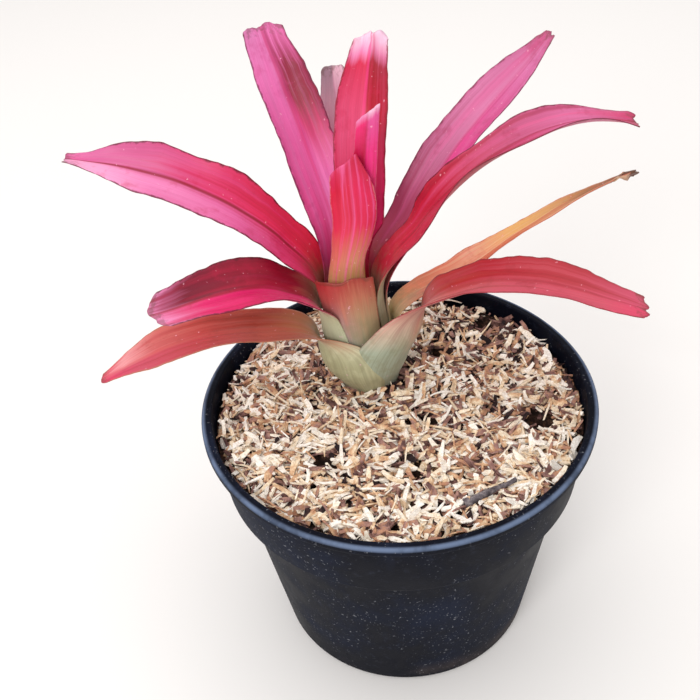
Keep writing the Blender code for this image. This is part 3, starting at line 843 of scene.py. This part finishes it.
def chipMesh(length, width, thickness, bend, jitter, cuts):
    # one husk chip: a thin bar, cut along its length, bent, tapered and roughened
    shape = bmesh.new()
    bmesh.ops.create_cube(shape, size=1)
    longEdges = [edge for edge in shape.edges if abs(edge.verts[0].co.x - edge.verts[1].co.x) > 0.5]
    bmesh.ops.subdivide_edges(shape, edges=longEdges, cuts=cuts, use_grid_fill=True)
    for vertex in shape.verts:
        end = abs(vertex.co.x) * 2
        narrow = blend(1, 0.66, end**3)
        rough = 1 + jitter * (dice.random() - 0.5)
        vertex.co = Vector((
            vertex.co.x * length * (1 + 0.4 * jitter * (dice.random() - 0.5)),
            vertex.co.y * width * narrow * rough + bend * 0.6 * (end * end - 0.4) * width,
            vertex.co.z * thickness * narrow * rough + bend * (end * end - 0.4),
        )) * mm
    bmesh.ops.recalc_face_normals(shape, faces=shape.faces)
    mesh = bpy.data.meshes.new("chip")
    shape.to_mesh(mesh)
    shape.free()
    mesh.attributes.new("tone", "FLOAT", "FACE")
    return mesh


def chipKinds(count, lengths, widths, thicknesses, bend, jitter, cuts):
    kinds = []
    for _ in range(count):
        length = dice.uniform(*lengths)
        made = chipMesh(
            length, dice.uniform(*widths), dice.uniform(*thicknesses), dice.uniform(-bend, bend), jitter, cuts
        )
        kinds.append((length, made))
    return kinds


def scattered(kinds, count, lift, tilt, tones, clear):
    # one shape of chips strewn over the mix, fewer where a hollow lies and none against the plant
    shape = bmesh.new()
    for _ in range(count):
        length, template = dice.choice(kinds)
        angle = dice.uniform(0, math.tau)
        reach = potInnerRadius(mixEdge) * math.sqrt(dice.random())
        x, y = reach * math.cos(angle), reach * math.sin(angle)
        yaw = dice.uniform(0, math.tau)
        overhang = 0.5 * length * abs(math.cos(yaw - angle))
        tooFar = reach + overhang > potInnerRadius(mixEdge) - 0.6
        nearPlant = math.hypot(x - stem["x"], y - stem["y"]) < clear + 0.3 * length
        if tooFar or nearPlant or dice.random() < hollowAt(x, y) * 1.3:
            continue
        pitch = math.radians(dice.gauss(0, tilt))
        bank = math.radians(dice.gauss(0, tilt * 1.5))
        scale = dice.uniform(0.75, 1.2)
        dark = noise.noise(Vector((x / 11, y / 11, 30)))
        # painted shade: each chip's tone is lowered in the hollows and against the plant, and one patch
        # behind the plant is darker too
        tone = dice.uniform(*tones) + 0.2 * dark - 0.5 * hollowAt(x, y) - shadeAndDarkPatchAt(x, y)
        tone = min(max(tone, 0.02), 0.98)
        height = mixHeight(x, y) + dice.uniform(*lift) + 0.25 * length * abs(math.sin(pitch))
        turn = Matrix.Rotation(yaw, 4, "Z") @ Matrix.Rotation(pitch, 4, "Y") @ Matrix.Rotation(bank, 4, "X")
        piece = template.copy()
        piece.transform(Matrix.Translation(Vector((x, y, height)) * mm) @ turn @ Matrix.Scale(scale, 4))
        piece.attributes["tone"].data.foreach_set("value", [tone] * len(piece.polygons))
        shape.from_mesh(piece)
        bpy.data.meshes.remove(piece)
    return shape


def makeBed():
    edge = potInnerRadius(mixEdge) - mix["bedGap"]
    drop = mix["bedDrop"]
    rings = [(edge * ring / mix["bedRings"], mixEdge - drop) for ring in range(mix["bedRings"] + 1)]
    innerStep = potHeight - pot["bandDepth"] + pot["bandStep"]
    foot = mix["bedFoot"]
    body = [(pot["bandBottomRadius"] - 6.5, innerStep - 3), (pot["baseRadius"] - 1.8, foot), (0, foot)]
    shape = turnedShape(rings + body, mix["bedSides"])
    for vertex in shape.verts:
        if vertex.co.z > (mixEdge - drop - 0.01) * mm:
            x, y = vertex.co.x / mm, vertex.co.y / mm
            grain = 0.8 * noise.noise(Vector((x / 2.4, y / 2.4, 1)))
            vertex.co.z = (mixHeight(x, y) - drop + grain - 3.5 * hollowAt(x, y)) * mm
    # the bed's very dark colour is partly the fine dust and partly painted shade for the gaps and hollows
    # between the chips
    material, tree, shader = newMaterial("husk dust and painted gap shade", 0.2)
    place = addNode(tree, "ShaderNodeTexCoord", {}).outputs["Object"]
    patch = noiseAt(tree, place, 420, 5, 0.7)
    stops = [(0.3, tint(20, 14, 12)), (0.5, tint(56, 38, 31)), (0.7, tint(110, 80, 62))]
    tree.links.new(ramped(tree, patch, stops), shader.inputs["Base Color"])
    tree.links.new(stepped(tree, patch, 0.3, 0.7, 0.8, 0.95), shader.inputs["Roughness"])
    bumped(tree, shader, patch, 0.8, 0.8 * mm)
    newPiece("mixBed", meshFrom("mixBed", shape), [material], "potting_husk", "potting_mix")


def makeHusk():
    made = {kind: chipKinds(**sizes) for kind, sizes in mix["kinds"].items()}
    finish = huskFinish("chopped husk", mix["stops"], 0.5)
    for layer in mix["layers"]:
        shape = scattered(
            made[layer["kind"]], layer["count"], layer["lift"], layer["tilt"], layer["tones"], layer["clear"]
        )
        mesh = meshFrom(layer["name"], shape, layer["sharp"])
        newPiece(layer["name"], mesh, [finish], "potting_husk", "potting_mix")


def makeTwig():
    # one grey woody sliver that lies on the husk
    shape = bmesh.new()
    thick, thin = mix["twigRadii"]
    bmesh.ops.create_cone(
        shape, cap_ends=True, segments=10, radius1=thick * mm, radius2=thin * mm, depth=mix["twigLength"] * mm
    )
    along = [edge for edge in shape.edges if abs(edge.verts[0].co.z - edge.verts[1].co.z) > mm]
    bmesh.ops.subdivide_edges(shape, edges=along, cuts=9)
    x, y = mix["twigPlace"]
    turn = Matrix.Rotation(math.radians(mix["twigTurn"]), 4, "Z") @ Matrix.Rotation(math.radians(88), 4, "Y")
    place = Matrix.Translation(Vector((x, y, mixHeight(x, y) + mix["twigLift"])) * mm) @ turn
    for vertex in shape.verts:
        wobble = noiseVector(vertex.co / mm * 0.16)
        vertex.co = place @ (vertex.co + wobble * mix["twigWobble"] * mm)
    bmesh.ops.recalc_face_normals(shape, faces=shape.faces)
    material, tree, shader = newMaterial("grey twig bark", 0.2)
    position = addNode(tree, "ShaderNodeTexCoord", {}).outputs["Object"]
    grain = noiseAt(tree, position, 420, 5, 0.65)
    stops = [(0.3, tint(44, 38, 40)), (0.5, tint(96, 88, 92)), (0.7, tint(150, 140, 140))]
    tree.links.new(ramped(tree, grain, stops), shader.inputs["Base Color"])
    tree.links.new(stepped(tree, grain, 0.3, 0.7, 0.65, 0.85), shader.inputs["Roughness"])
    bumped(tree, shader, grain, 0.7, 0.4 * mm)
    newPiece("greyTwig", meshFrom("greyTwig", shape, 40), [material], "potting_husk", "potting_mix")


makeBed()
makeHusk()
makeTwig()
print("potting mix made")


# Floor, light and camera.

setting = {
    "floorColour": tint(237, 234, 232), "floorSize": 4, "floorRoughness": 0.9,
    "skyColour": (1.0, 0.99, 0.98, 1), "skyStrength": 0.92, "plant": (0, 0, 0.13),
    "topPower": 3.5, "topSize": 1.1, "topPlace": (-0.1, 0.25, 1.1),
    "keyPower": 6, "keySize": 0.4, "keyPlace": (-0.5, -0.85, 0.8),
}


def makeFloor():
    shape = bmesh.new()
    bmesh.ops.create_grid(shape, x_segments=1, y_segments=1, size=setting["floorSize"])
    floor = bpy.data.objects.new("floor", meshFrom("floor", shape))
    bpy.context.scene.collection.objects.link(floor)
    material, tree, shader = newMaterial("pale floor", 0.1)
    shader.inputs["Base Color"].default_value = setting["floorColour"]
    shader.inputs["Roughness"].default_value = setting["floorRoughness"]
    floor.data.materials.append(material)


def addAreaLight(name, power, size, place, target):
    light = bpy.data.lights.new(name, "AREA")
    light.energy = power
    light.size = size
    made = bpy.data.objects.new(name, light)
    made.location = place
    made.rotation_mode = "QUATERNION"
    made.rotation_quaternion = (Vector(target) - Vector(place)).to_track_quat("-Z", "Y")
    bpy.context.scene.collection.objects.link(made)


def makeLight():
    world = bpy.data.worlds.new("pale surroundings")
    bpy.context.scene.world = world
    world.use_nodes = True
    backdrop = world.node_tree.nodes["Background"]
    backdrop.inputs["Color"].default_value = setting["skyColour"]
    backdrop.inputs["Strength"].default_value = setting["skyStrength"]
    addAreaLight("overhead", setting["topPower"], setting["topSize"], setting["topPlace"], setting["plant"])
    addAreaLight("key", setting["keyPower"], setting["keySize"], setting["keyPlace"], setting["plant"])


camera = {
    "target": (-16.6, 0, 134.5), "distance": 347, "elevation": 39.4, "roll": -4.7, "lens": 48.75,
    "sensor": 36, "nearest": 0.02,
}


def makeCamera():
    elevation = math.radians(camera["elevation"])
    back = Vector((0, -math.cos(elevation), math.sin(elevation)))
    right = Vector((1, 0, 0))
    up = back.cross(right)
    turn = Matrix((right, up, back)).transposed().to_4x4()
    lens = bpy.data.cameras.new("camera")
    lens.lens = camera["lens"]
    lens.sensor_width = camera["sensor"]
    lens.clip_start = camera["nearest"]
    made = bpy.data.objects.new("camera", lens)
    bpy.context.scene.collection.objects.link(made)
    place = (Vector(camera["target"]) + back * camera["distance"]) * mm
    roll = Matrix.Rotation(math.radians(camera["roll"]), 4, "Z")
    made.matrix_world = Matrix.Translation(place) @ turn @ roll
    bpy.context.scene.camera = made
    bpy.context.scene.view_settings.view_transform = "Standard"


makeFloor()
makeLight()
makeCamera()
print("floor, light and camera set")
